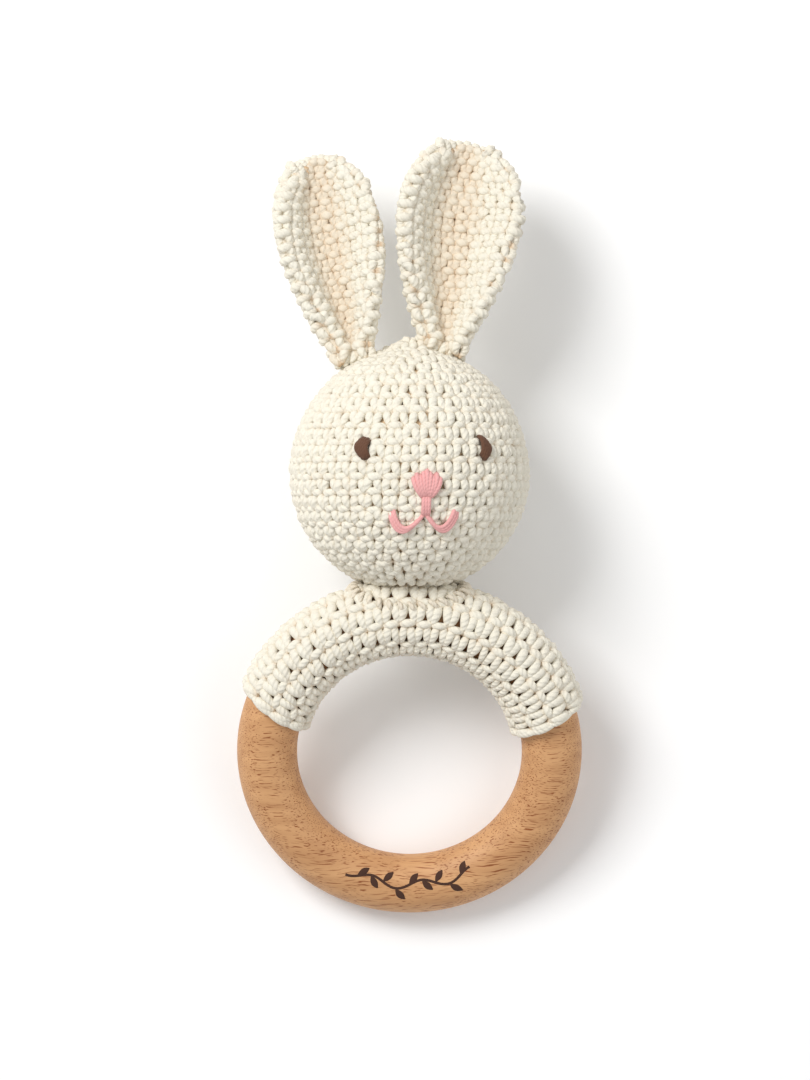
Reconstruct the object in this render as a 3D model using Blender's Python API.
"""Teething ring with a crocheted bunny head, lying on its back.

A turned beech ring carries a crocheted sleeve round its upper part. A stuffed, crocheted bunny head
with a rattle capsule inside is sewn to that sleeve, and two cupped ears are sewn to the head.
+Z is up, +Y runs from the ring towards the ears, and +X is to the right of someone who looks down
at the face. The origin is the middle of the footprint, on the surface that the toy lies on.
"""

import math

import bmesh
import bpy
import numpy as np
from mathutils import Matrix, Vector

MM = 0.001
GAP = 0.3 * MM  # between pieces that touch on the real toy

# The wooden ring: a rounded, slightly flattened bar bent into a circle.
RING_OUTER_RADIUS = 35.0 * MM
BAR_WIDTH = 12.2 * MM
BAR_THICKNESS = 10.8 * MM
RING_RADIUS = RING_OUTER_RADIUS - BAR_WIDTH / 2
RING_SEGMENTS = 48
BAR_SEGMENTS = 14
RING_TILT = math.radians(19)  # the head's end of the ring is the raised one

# The head: a ball, a little longer above its middle than below it.
HEAD_RADIUS = 24.7 * MM
HEAD_ABOVE = 25.9 * MM
HEAD_BELOW = 24.3 * MM
HEAD_HEIGHT = 24.0 * MM  # its centre, so the ball is flat where it lies on the surface
HEAD_WALL = 2.2 * MM
HEAD_FROM_RING = 56.2 * MM  # head centre to ring centre, along Y

# The crocheted sleeve, measured round the ring from +X.
SLEEVE_GAP = 0.4 * MM
SLEEVE_WALL = 1.35 * MM
SLEEVE_START = math.radians(17.6), math.radians(12.1)  # on the outer and on the inner side
SLEEVE_END = math.radians(156.5), math.radians(164.5)
SLEEVE_SLOT = math.radians(26)  # half the opening that the seam closes, round the bar
SEAM_RADIUS = 1.0 * MM

# The neck, where the head sits on the sleeve with room to nod.
NECK_GAP = 1.2 * MM
NECK_YARN_RADIUS = 0.55 * MM
NECK_SPREAD = math.radians(20), math.radians(62)  # of the neck's yarn, round the ring and round the bar

# The rattle capsule and its pellets.
CAPSULE_RADIUS = 10.0 * MM
CAPSULE_WALL = 1.3 * MM
LIP_WALL = 0.5 * MM
LIP_LENGTH = 1.8 * MM
BEAD_RADIUS = 1.7 * MM
BEAD_TRACK = 3.3 * MM  # each pellet's distance from the capsule's middle
BEAD_COUNT = 4

# The ears: root on the head, lean away from +Y, length and width of the cupped shape.
# Each one is a flattened tube of crochet, so it is two layers thick.
EAR_DROOP = math.radians(6)
EAR_SLOPE_TIP = math.radians(-66), math.radians(38)  # a cross-section's slope at its -X and its +X edge
EAR_SLOPE_ROOT = math.radians(-72), math.radians(62)
EAR_WALL = 3.0 * MM
EAR_ROOT_GAP = 1.5 * MM
EAR_YARN_RADIUS = 0.6 * MM
EARS = {
    "left": {"root_x": -10.9 * MM, "lean": math.radians(-10.6), "length": 39.4 * MM, "width": 21.8 * MM},
    "right": {"root_x": 6.7 * MM, "lean": math.radians(7.4), "length": 40.2 * MM, "width": 25.4 * MM},
}

# The face, as angles on the head. It looks a little towards +X.
FACE_TURN = math.radians(8.2)
EYE_APART = math.radians(30.9)
EYE_RISE = math.radians(11.3)
EYE_SIZE = 1.9 * MM, 2.5 * MM
STITCH_HEIGHT = 1.1 * MM
MOUTH_RADIUS = 0.9 * MM

CREAM = (0.84, 0.78, 0.64, 1)
BEECH = (0.58, 0.34, 0.17, 1)
BROWN = (0.12, 0.055, 0.03, 1)
PINK = (0.68, 0.29, 0.27, 1)
FILLING = (0.88, 0.86, 0.80, 1)
CAPSULE_WHITE = (0.80, 0.80, 0.78, 1)
PELLET = (0.55, 0.55, 0.56, 1)


def clear_scene():
    for obj in list(bpy.data.objects):
        bpy.data.objects.remove(obj, do_unlink=True)


def material(name, colour, roughness, metallic=0.0):
    found = bpy.data.materials.get(name)
    if found:
        return found
    made = bpy.data.materials.new(name)
    made.use_nodes = True
    shader = made.node_tree.nodes["Principled BSDF"]
    shader.inputs["Base Color"].default_value = colour
    shader.inputs["Roughness"].default_value = roughness
    shader.inputs["Metallic"].default_value = metallic
    made.diffuse_color = colour
    return made


def empty(name, place, parent=None):
    """An empty at a place given in the toy's frame, which its children turn about."""
    made = bpy.data.objects.new(name, None)
    made.empty_display_size = 5 * MM
    bpy.context.scene.collection.objects.link(made)
    made.matrix_world = place if isinstance(place, Matrix) else Matrix.Translation(place)
    if parent:
        adopt(made, parent)
    return made


def adopt(child, parent):
    """Parents a piece without moving it."""
    bpy.context.view_layer.update()
    child.parent = parent
    child.matrix_parent_inverse = parent.matrix_world.inverted()


def add(name, data, finish, place=None):
    made = bpy.data.objects.new(name, data)
    data.materials.append(finish)
    bpy.context.scene.collection.objects.link(made)
    if place is not None:
        made.matrix_world = place
    return made


def from_bmesh(name, shape, finish, place=None):
    bmesh.ops.recalc_face_normals(shape, faces=shape.faces)
    mesh = bpy.data.meshes.new(name)
    shape.to_mesh(mesh)
    shape.free()
    mesh.shade_smooth()
    mesh.set_sharp_from_angle(angle=math.radians(40))
    return add(name, mesh, finish, place)


def ball(radius, segments, rings):
    """A sphere with its poles on Y."""
    shape = bmesh.new()
    bmesh.ops.create_uvsphere(shape, u_segments=segments, v_segments=rings, radius=radius)
    bmesh.ops.rotate(shape, verts=shape.verts, matrix=Matrix.Rotation(math.pi / 2, 3, "X"))
    return shape


def head_ball(inset, segments, rings):
    """The head's outer shape, drawn in by inset."""
    shape = ball(1.0, segments, rings)
    for vert in shape.verts:
        along = (HEAD_ABOVE if vert.co.y > 0 else HEAD_BELOW) - inset
        side = HEAD_RADIUS - inset
        vert.co = Vector((vert.co.x * side, vert.co.y * along, vert.co.z * side))
    return shape


def on_head(across, up, height):
    """A point above the head's skin: across and up are lengths along it from the face's middle."""
    turn = FACE_TURN + across / HEAD_RADIUS
    rise = up / HEAD_RADIUS
    way = Vector((math.sin(turn) * math.cos(rise), math.sin(rise), math.cos(turn) * math.cos(rise)))
    along = HEAD_ABOVE if way.y > 0 else HEAD_BELOW
    skin = Vector((way.x * HEAD_RADIUS, way.y * along, way.z * HEAD_RADIUS))
    out = Vector((way.x / HEAD_RADIUS, way.y / along, way.z / HEAD_RADIUS)).normalized()
    return skin + out * height


def bar_section(grow, count, start=0.0, end=2 * math.pi):
    """Points round the bar in its own plane: x towards the ring's outside, z along the ring's axis."""
    turns = np.linspace(start, end, count, endpoint=end - start < 2 * math.pi - 1e-6)
    return [(math.cos(t) * (BAR_WIDTH / 2 + grow), math.sin(t) * (BAR_THICKNESS / 2 + grow)) for t in turns]


def swept(section, start, end, steps, closed):
    """A section carried round the ring by a spin, with filled ends unless it closes on itself."""
    shape = bmesh.new()
    loop = [shape.verts.new((RING_RADIUS + x, 0, z)) for x, z in section]
    edges = [shape.edges.new(pair) for pair in zip(loop, loop[1:] + loop[:1])]
    bmesh.ops.rotate(shape, verts=shape.verts, matrix=Matrix.Rotation(start, 3, "Z"))
    bmesh.ops.spin(
        shape, geom=loop + edges, axis=(0, 0, 1), cent=(0, 0, 0), angle=end - start, steps=steps,
        use_merge=closed, use_duplicate=False,
    )
    if closed:
        bmesh.ops.remove_doubles(shape, verts=shape.verts, dist=0.001 * MM)
    else:
        bmesh.ops.holes_fill(shape, edges=[edge for edge in shape.edges if edge.is_boundary])
    return shape


def cut(piece, tool):
    change = piece.modifiers.new("cut", "BOOLEAN")
    change.operation = "DIFFERENCE"
    change.object = tool
    tool.hide_render = True
    tool.display_type = "WIRE"


def make_ring(frame, finish):
    shape = swept(bar_section(0, BAR_SEGMENTS), 0, 2 * math.pi, RING_SEGMENTS, closed=True)
    return from_bmesh("beech_ring", shape, finish, frame)


def slant_ends(shape):
    """Moves each slice round the ring so that the sleeve's ends run from the outer to the inner angle."""
    middle = math.pi / 2
    for vert in shape.verts:
        turn = math.atan2(vert.co.y, vert.co.x)
        reach = math.hypot(vert.co.x, vert.co.y)
        inward = (1 - (reach - RING_RADIUS) / (BAR_WIDTH / 2 + SLEEVE_GAP + SLEEVE_WALL)) / 2
        ends = SLEEVE_START if turn < middle else SLEEVE_END
        here = ends[0] + (ends[1] - ends[0]) * inward
        share = (turn - middle) / (ends[0] - middle)
        turned = middle + share * (here - middle)
        vert.co = Vector((reach * math.cos(turned), reach * math.sin(turned), vert.co.z))


def make_sleeve(frame, finish):
    start, end = -math.pi + SLEEVE_SLOT, math.pi - SLEEVE_SLOT
    outer = bar_section(SLEEVE_GAP + SLEEVE_WALL, BAR_SEGMENTS, start, end)
    inner = bar_section(SLEEVE_GAP, BAR_SEGMENTS, start, end)
    steps = round(RING_SEGMENTS * (SLEEVE_END[0] - SLEEVE_START[0]) / (2 * math.pi))
    shape = swept(outer + inner[::-1], SLEEVE_START[0], SLEEVE_END[0], steps, closed=False)
    slant_ends(shape)
    return from_bmesh("sleeve_crochet", shape, finish, frame)


def yarn(name, points, radius, finish, place=None, cyclic=False, sides=1):
    """A length of yarn: a round bevelled curve with filled ends."""
    path = bpy.data.curves.new(name, "CURVE")
    path.dimensions = "3D"
    path.bevel_depth = radius
    path.bevel_resolution = sides
    path.use_fill_caps = not cyclic
    line = path.splines.new("POLY")
    line.points.add(len(points) - 1)
    for spot, point in zip(line.points, points):
        spot.co = (*point, 1)
    line.use_cyclic_u = cyclic
    line.use_smooth = True
    return add(name, path, finish, place)


def make_seam(frame, finish):
    """The whip-stitched ridge that lies in the sleeve's slot, on the hole side of the bar."""
    reach = RING_OUTER_RADIUS - BAR_WIDTH - SLEEVE_GAP - SEAM_RADIUS
    turns = np.linspace(SLEEVE_START[1], SLEEVE_END[1], 30)
    points = [(reach * math.cos(t), reach * math.sin(t), 0) for t in turns]
    return yarn("sleeve_seam_yarn", points, SEAM_RADIUS, finish, frame, sides=2)


def bar_cutter(frame, grow):
    """The sleeve's outside made larger by grow, used to shape what sits on it."""
    section = bar_section(SLEEVE_GAP + SLEEVE_WALL + grow, 2 * BAR_SEGMENTS)
    shape = swept(section, math.radians(30), math.radians(150), 40, closed=False)
    return from_bmesh("neck_cutter", shape, material("guide", CREAM, 1), frame)


def block(name, low, high):
    shape = bmesh.new()
    bmesh.ops.create_cube(shape, size=1)
    size = Vector(high) - Vector(low)
    bmesh.ops.scale(shape, verts=shape.verts, vec=size)
    bmesh.ops.translate(shape, verts=shape.verts, vec=(Vector(low) + Vector(high)) / 2)
    made = from_bmesh(name, shape, material("guide", CREAM, 1))
    return made


def make_head(centre, neck_tool, floor_tool, finish):
    head = from_bmesh("head_crochet_shell", head_ball(0, 36, 18), finish, centre)
    hollow = from_bmesh("head_hollow", head_ball(HEAD_WALL, 28, 14), finish, centre)
    for tool in (hollow, neck_tool, floor_tool):
        cut(head, tool)
    return head


def make_stuffing(centre, neck_tool, finish):
    """Two wads of filling, ear side and neck side, packed round the capsule."""
    capsule = from_bmesh("capsule_pocket", ball(CAPSULE_RADIUS + GAP, 20, 10), finish, centre)
    middle = centre.translation.y
    far = 2 * HEAD_RADIUS
    wads = []
    for name, side in (("stuffing_upper", 1), ("stuffing_lower", -1)):
        wad = from_bmesh(name, head_ball(HEAD_WALL + GAP, 26, 12), finish, centre)
        edges = sorted((middle + side * GAP / 2, middle - side * far))
        half = block(name + "_half", (-far, edges[0], -far), (far, edges[1], 3 * far))
        for tool in (capsule, neck_tool, half):
            cut(wad, tool)
        wads.append(wad)
    return wads


def turned(name, profile, finish, place, steps=24):
    """A closed profile of (distance from the axis, height) pairs, spun round Z."""
    shape = bmesh.new()
    line = [shape.verts.new((x, 0, z)) for x, z in profile]
    edges = [shape.edges.new(pair) for pair in zip(line, line[1:])]
    bmesh.ops.spin(
        shape,
        geom=edges + line,
        axis=(0, 0, 1),
        cent=(0, 0, 0),
        angle=2 * math.pi,
        steps=steps,
        use_merge=True,
    )
    bmesh.ops.remove_doubles(shape, verts=shape.verts, dist=0.001 * MM)
    return from_bmesh(name, shape, finish, place)


def arc(radius, start, end, count):
    return [(radius * math.cos(t), radius * math.sin(t)) for t in np.linspace(start, end, count)]


def make_capsule(centre, finish):
    """Two snapped cups: the front one's skirt closes over the back one's lip."""
    inner = CAPSULE_RADIUS - CAPSULE_WALL
    skirt_inner = CAPSULE_RADIUS - LIP_WALL
    lip_outer = inner + LIP_WALL
    quarter = math.pi / 2
    front = arc(CAPSULE_RADIUS, quarter, 0, 7) + [(skirt_inner, 0), (skirt_inner, LIP_LENGTH + GAP)]
    front += arc(inner, math.asin((LIP_LENGTH + GAP) / inner), quarter, 6)
    back = arc(inner, -quarter, 0, 6) + [(inner, LIP_LENGTH), (lip_outer, LIP_LENGTH), (lip_outer, -GAP)]
    back += arc(CAPSULE_RADIUS, -math.asin(GAP / CAPSULE_RADIUS), -quarter, 7)
    return [
        turned("rattle_capsule_front", front, finish, centre),
        turned("rattle_capsule_back", back, finish, centre),
    ]


def make_beads(centre, finish):
    """Pellets at rest on the capsule's floor. Each one has its own straight way up through the capsule."""
    room = CAPSULE_RADIUS - CAPSULE_WALL - BEAD_RADIUS - GAP
    drop = math.sqrt(room**2 - BEAD_TRACK**2)
    beads = []
    for index in range(BEAD_COUNT):
        turn = 2 * math.pi * (index + 0.5) / BEAD_COUNT
        spot = Vector((BEAD_TRACK * math.cos(turn), BEAD_TRACK * math.sin(turn), -drop))
        shape = bmesh.new()
        bmesh.ops.create_icosphere(shape, subdivisions=2, radius=BEAD_RADIUS)
        place = centre @ Matrix.Translation(spot)
        beads.append(from_bmesh(f"rattle_bead_{index + 1}", shape, finish, place))
    return beads


def skin_slope(across):
    """The slope of the head's outline at this distance to the side of its top, and its height there."""
    height = HEAD_ABOVE * math.sqrt(1 - (across / HEAD_RADIUS) ** 2)
    return math.atan(-across * (HEAD_ABOVE / HEAD_RADIUS) ** 2 / height), height


def ear_root(centre, side):
    """The ear's root and hinge, just off the top of the head, with Y along the ear and X across it."""
    ear = EARS[side]
    slope, height = skin_slope(ear["root_x"])
    off = GAP + EAR_YARN_RADIUS
    spot = Vector((ear["root_x"] - off * math.sin(slope), height + off * math.cos(slope), 0))
    lean = Matrix.Rotation(-ear["lean"], 4, "Z")
    droop = Matrix.Rotation(-EAR_DROOP, 4, "X")
    return Matrix.Translation(centre.translation + spot) @ lean @ droop


def root_slope(side):
    """The slope of the head across an ear's root, as a ratio in the ear's own frame."""
    ear = EARS[side]
    return math.tan(skin_slope(ear["root_x"])[0] + ear["lean"])


def smooth(share):
    share = min(1.0, max(0.0, share))
    return share * share * (3 - 2 * share)


def cup_section(along, steps=24):
    """Points across an ear, as shares of its width: its slope turns from one edge's value to the other's."""
    fold = 1 - smooth(along / 0.7)
    first, last = (tip + (root - tip) * fold for tip, root in zip(EAR_SLOPE_TIP, EAR_SLOPE_ROOT))
    slopes = [first + (last - first) * smooth((i + 0.5) / steps / 0.85) for i in range(steps)]
    across = np.concatenate([[0.0], np.cumsum(np.cos(slopes))])
    rise = np.concatenate([[0.0], np.cumsum(np.sin(slopes))])
    width = across[-1]
    return across / width - 0.5, (rise - rise.min()) / width


def make_ear(side, root, finish):
    """A leaf-shaped strip, narrow at its root and cupped towards +Z, more steeply at its -X side."""
    ear = EARS[side]
    shape = bmesh.new()
    rows, columns = 13, 9
    bmesh.ops.create_grid(shape, x_segments=columns - 1, y_segments=rows - 1, size=0.5)
    for vert in shape.verts:
        share = vert.co.x + 0.5
        along = vert.co.y + 0.5
        leaf = math.sin(math.pi * (0.12 + 0.86 * along) ** 1.6) ** 0.42
        width = ear["width"] * leaf - EAR_WALL * 0.8
        sides, rises = cup_section(along)
        places = np.linspace(0, 1, len(sides))
        across = float(np.interp(share, places, sides)) * width
        rise = float(np.interp(share, places, rises)) * width
        ahead = ear["length"] * along * (1 - 0.24 * vert.co.x**2 * along**4)
        skirt = root_slope(side) * across * (1 - along) ** 2
        vert.co = Vector((across, EAR_ROOT_GAP + ahead + skirt, rise))
    made = from_bmesh(f"ear_{side}_crochet", shape, finish, root)
    wall = made.modifiers.new("wall", "SOLIDIFY")
    wall.thickness = EAR_WALL
    wall.offset = 0
    return made


def make_ear_yarn(side, root, finish):
    """The stitches at the ear's root, which lie along its hinge."""
    half = EARS[side]["width"] * 0.12
    points = [root @ Vector((x, root_slope(side) * x, 0)) for x in np.linspace(-half, half, 5)]
    return yarn(f"ear_{side}_sewing_yarn", points, EAR_YARN_RADIUS, finish, sides=2)


def above_skin(point):
    """Nearly how far a point in the head's frame is outside the head's skin."""
    along = HEAD_ABOVE if point.y > 0 else HEAD_BELOW
    return (Vector((point.x / HEAD_RADIUS, point.y / along, point.z / HEAD_RADIUS)).length - 1) * HEAD_RADIUS


def neck_point(frame, centre, turn):
    """A point of the neck's yarn: above the sleeve, and moved out from the neck until it clears the head."""
    grow = SLEEVE_GAP + SLEEVE_WALL + NECK_GAP + NECK_YARN_RADIUS
    for spread in np.linspace(0.5, 1.6, 400):
        round_ring = spread * NECK_SPREAD[0] * math.cos(turn)
        round_bar = spread * NECK_SPREAD[1] * math.sin(turn)
        reach = RING_RADIUS + (BAR_WIDTH / 2 + grow) * math.cos(round_bar)
        height = (BAR_THICKNESS / 2 + grow) * math.sin(round_bar)
        point = frame @ Vector((reach * math.sin(round_ring), reach * math.cos(round_ring), height))
        if above_skin(centre.inverted() @ point) > GAP + NECK_YARN_RADIUS:
            break
    return point


def make_neck_yarn(frame, centre, finish):
    turns = np.linspace(0, 2 * math.pi, 32, endpoint=False)
    points = [neck_point(frame, centre, t) for t in turns]
    return yarn("neck_sewing_yarn", points, NECK_YARN_RADIUS, finish, cyclic=True)


def make_eye(side, centre, finish):
    """A satin-stitched eye: a low, rounded pad that follows the head."""
    shape = ball(1.0, 14, 8)
    across = EYE_APART * HEAD_RADIUS * (1 if side == "right" else -1)
    up = EYE_RISE * HEAD_RADIUS
    half = STITCH_HEIGHT / 2
    for vert in shape.verts:
        spot = vert.co
        place = (across + spot.x * EYE_SIZE[0], up + spot.y * EYE_SIZE[1])
        vert.co = on_head(*place, GAP + half + spot.z * half)
    return from_bmesh(f"eye_{side}", shape, finish, centre)


def make_nose(centre, finish):
    """A fan of satin stitches: wide above, drawn together below."""
    shape = bmesh.new()
    wide, high, narrow = 3.2 * MM, 5.2 * MM, 0.9 * MM
    top = -0.2 * MM
    rows, columns = 5, 7
    bmesh.ops.create_grid(shape, x_segments=columns - 1, y_segments=rows - 1, size=0.5)
    for vert in shape.verts:
        along = vert.co.y + 0.5
        half = narrow + (wide - narrow) * math.sin(math.pi / 2 * along)
        bulge = math.cos(math.pi * vert.co.x) * 0.5 * MM * along
        up = top - high * (1 - along) + bulge
        vert.co = on_head(2 * vert.co.x * half, up, GAP + STITCH_HEIGHT / 2)
    made = from_bmesh("nose", shape, finish, centre)
    wall = made.modifiers.new("wall", "SOLIDIFY")
    wall.thickness = STITCH_HEIGHT
    wall.offset = 0
    return made


def make_mouth(centre, finish):
    """One upright stitch under the nose and a hooked stitch to each side of it."""
    height = GAP + MOUTH_RADIUS + 0.05 * MM
    stem = [on_head(0, up, height) for up in np.linspace(-6.9 * MM, -8.9 * MM, 4)]
    pieces = [yarn("mouth_stem", stem, MOUTH_RADIUS, finish, centre)]
    for side, way in (("left", -1), ("right", 1)):
        points = []
        for turn in np.linspace(math.radians(-8), math.radians(172), 10):
            across = way * (4.9 * MM - 2.6 * MM * math.cos(turn))
            points.append(on_head(across, -8.3 * MM - 3.4 * MM * math.sin(turn), height))
        pieces.append(yarn(f"mouth_{side}", points, MOUTH_RADIUS, finish, centre))
    return pieces


def box_of(objects):
    """The lowest and highest corners of these pieces, with their modifiers."""
    bpy.context.view_layer.update()
    graph = bpy.context.evaluated_depsgraph_get()
    corners = []
    for obj in objects:
        done = obj.evaluated_get(graph)
        mesh = done.to_mesh()
        points = np.empty(len(mesh.vertices) * 3)
        mesh.vertices.foreach_get("co", points)
        world = np.array(done.matrix_world)
        points = points.reshape(-1, 3) @ world[:3, :3].T + world[:3, 3]
        corners += [points.min(axis=0), points.max(axis=0)]
        done.to_mesh_clear()
    return np.min(corners, axis=0), np.max(corners, axis=0)


def main():
    clear_scene()
    cream = material("undyed_cotton_yarn", CREAM, 0.9)
    beech = material("sanded_beech", BEECH, 0.5)
    brown = material("brown_embroidery_yarn", BROWN, 0.85)
    pink = material("pink_embroidery_yarn", PINK, 0.85)
    filling = material("fibre_filling", FILLING, 1.0)
    plastic = material("capsule_plastic", CAPSULE_WHITE, 0.35)
    pellet = material("steel_pellet", PELLET, 0.3, 1.0)

    radial, axial = BAR_WIDTH / 2 * math.sin(RING_TILT), BAR_THICKNESS / 2 * math.cos(RING_TILT)
    ring_height = RING_RADIUS * math.sin(RING_TILT) + math.hypot(radial, axial)
    frame = Matrix.Translation((0, -HEAD_FROM_RING, ring_height)) @ Matrix.Rotation(RING_TILT, 4, "X")
    centre = Matrix.Translation((0, 0, HEAD_HEIGHT))
    bar_top = frame @ Vector((0, RING_RADIUS, 0))

    origin = empty("toy", (0, 0, 0))
    ring = make_ring(frame, beech)
    adopt(ring, origin)

    ring_pivot = empty("ring_turn", frame, origin)
    sleeve_group = [make_sleeve(frame, cream), make_seam(frame, cream)]
    for piece in sleeve_group:
        adopt(piece, ring_pivot)

    neck_pivot = empty("head_nod", bar_top, ring_pivot)
    neck_tool = bar_cutter(frame, NECK_GAP)
    far = 4 * HEAD_RADIUS
    floor_tool = block("floor_cutter", (-far, -far, -far), (far, far, 0))
    head_group = [make_head(centre, neck_tool, floor_tool, cream), make_neck_yarn(frame, centre, cream)]
    head_group += make_stuffing(centre, neck_tool, filling) + make_capsule(centre, plastic)
    head_group += [make_eye("left", centre, brown), make_eye("right", centre, brown)]
    head_group += [make_nose(centre, pink)] + make_mouth(centre, pink)

    ears = []
    for side in EARS:
        root = ear_root(centre, side)
        hinge = empty(f"ear_{side}_flop", root, neck_pivot)
        head_group.append(make_ear_yarn(side, root, cream))
        ear = make_ear(side, root, cream)
        adopt(ear, hinge)
        ears.append(ear)
    for piece in head_group:
        adopt(piece, neck_pivot)

    beads = make_beads(centre, pellet)
    for bead in beads:
        adopt(bead, neck_pivot)

    for tool in [obj for obj in bpy.data.objects if obj.hide_render]:
        adopt(tool, origin)
    low, high = box_of([ring] + sleeve_group + head_group + ears)
    shift = -(low + high) / 2
    origin.location = (shift[0], shift[1], 0)


main()
